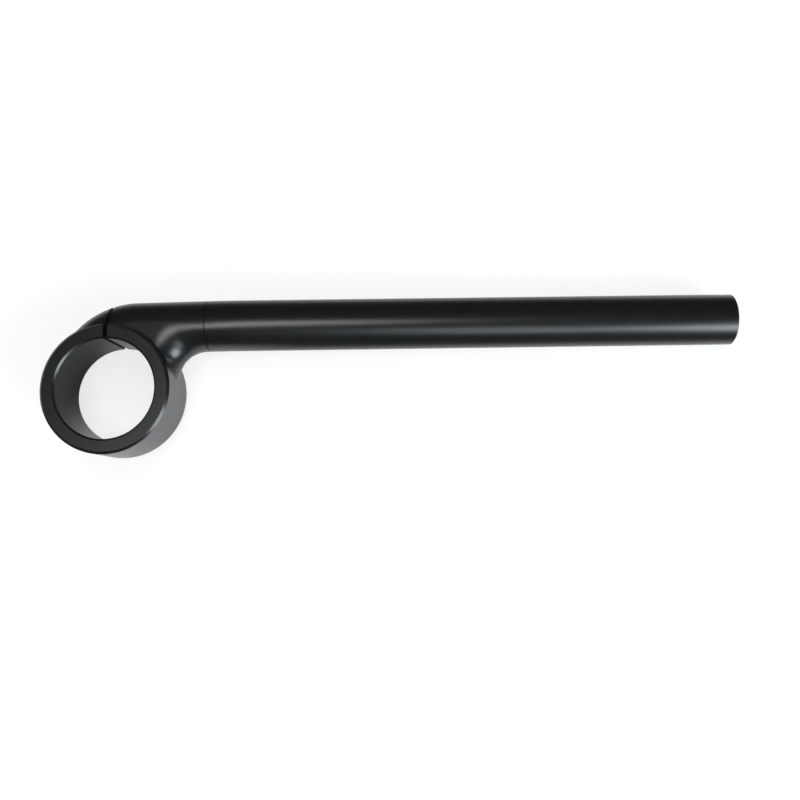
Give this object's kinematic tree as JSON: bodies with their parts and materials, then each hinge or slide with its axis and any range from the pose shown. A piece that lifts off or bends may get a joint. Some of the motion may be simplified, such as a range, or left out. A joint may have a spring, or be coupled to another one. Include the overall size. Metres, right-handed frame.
{
  "type": "clip-on handlebar",
  "caption": "Split fork clamp with a round offset arm and a slightly drooped handlebar tube, closed round the fork leg by a pinch screw.",
  "frame": {"origin": "middle of the fork bore: on its axis, halfway between the clamp's two faces", "axes": "+Z along the fork axis out of the face that looks up, +X along the arm, the way the bar leaves the clamp, +Y towards the side of the ring on which the bar lies"},
  "size_m": [0.3001, 0.0673, 0.0406],
  "materials": {
    "clamp_black": "satin black anodised",
    "tube_black": "fine bead-blasted, satin black anodised",
    "screw_steel": "bright stainless"
  },
  "bodies": {
    "root": {"clamp": "clamp_black", "bar_tube": "tube_black", "pinch_screw": "screw_steel"}
  },
  "joints": []
}
